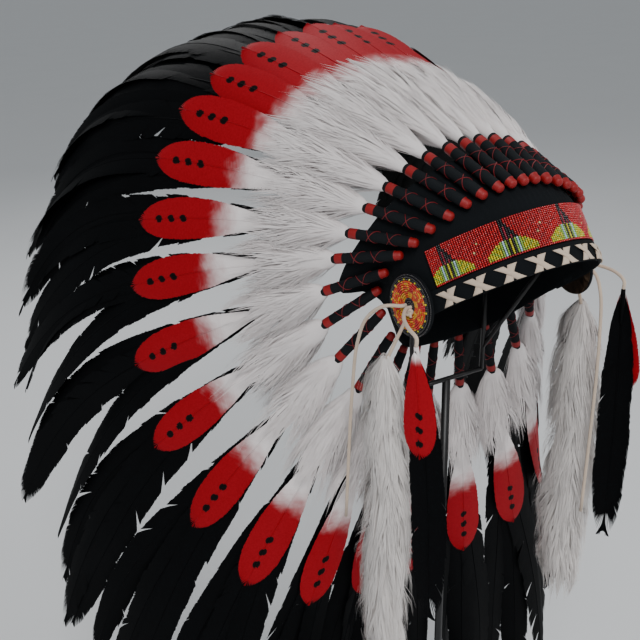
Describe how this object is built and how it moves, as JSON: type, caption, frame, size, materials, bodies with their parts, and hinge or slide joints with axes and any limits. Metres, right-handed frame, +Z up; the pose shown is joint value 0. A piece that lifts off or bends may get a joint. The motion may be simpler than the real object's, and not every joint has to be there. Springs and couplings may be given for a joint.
{
  "type": "feathered headdress on wire stand",
  "caption": "Feathered headdress with a beaded brow band, wrapped red and black plumes, white fluffs and fur side drops, on a plain black wire stand.",
  "frame": {"origin": "middle of the underside of the stand's round base", "axes": "+Z up, the brow band looks toward -Y, +X is the wearer's left"},
  "size_m": [0.6331, 0.5931, 0.9142],
  "materials": {
    "feathers": "dyed feather, black and red",
    "felt": "black wool felt",
    "beads": "glass seed beads in rows",
    "fur": "long white fur",
    "suede": "cream suede lace",
    "steel": "black powder coat"
  },
  "bodies": {
    "root": {"feather_01": "feathers", "feather_02": "feathers", "feather_03": "feathers", "feather_04": "feathers", "feather_05": "feathers", "feather_06": "feathers", "feather_07": "feathers", "feather_08": "feathers", "feather_09": "feathers", "feather_10": "feathers", "feather_11": "feathers", "feather_12": "feathers", "feather_13": "feathers", "feather_14": "feathers", "feather_15": "feathers", "feather_16": "feathers", "feather_17": "feathers", "feather_18": "feathers", "feather_19": "feathers", "feather_20": "feathers", "feather_21": "feathers", "feather_22": "feathers", "feather_23": "feathers", "feather_24": "feathers", "feather_25": "feathers", "feather_26": "feathers", "feather_27": "feathers", "feather_28": "feathers", "feather_29": "feathers", "feather_30": "feathers", "feather_31": "feathers", "felt_crown": "felt", "edge_band": "felt", "beaded_browband": "beads", "rosette_left": "beads", "rosette_right": "beads", "fur_drop_left": "fur", "fur_drop_right": "fur", "drop_feathers_left": "feathers", "drop_feathers_right": "feathers", "lace_long_left": "suede", "lace_long_right": "suede", "lace_short_left": "suede", "lace_short_right": "suede", "stand_frame": "steel", "stand_base": "steel"}
  },
  "joints": []
}
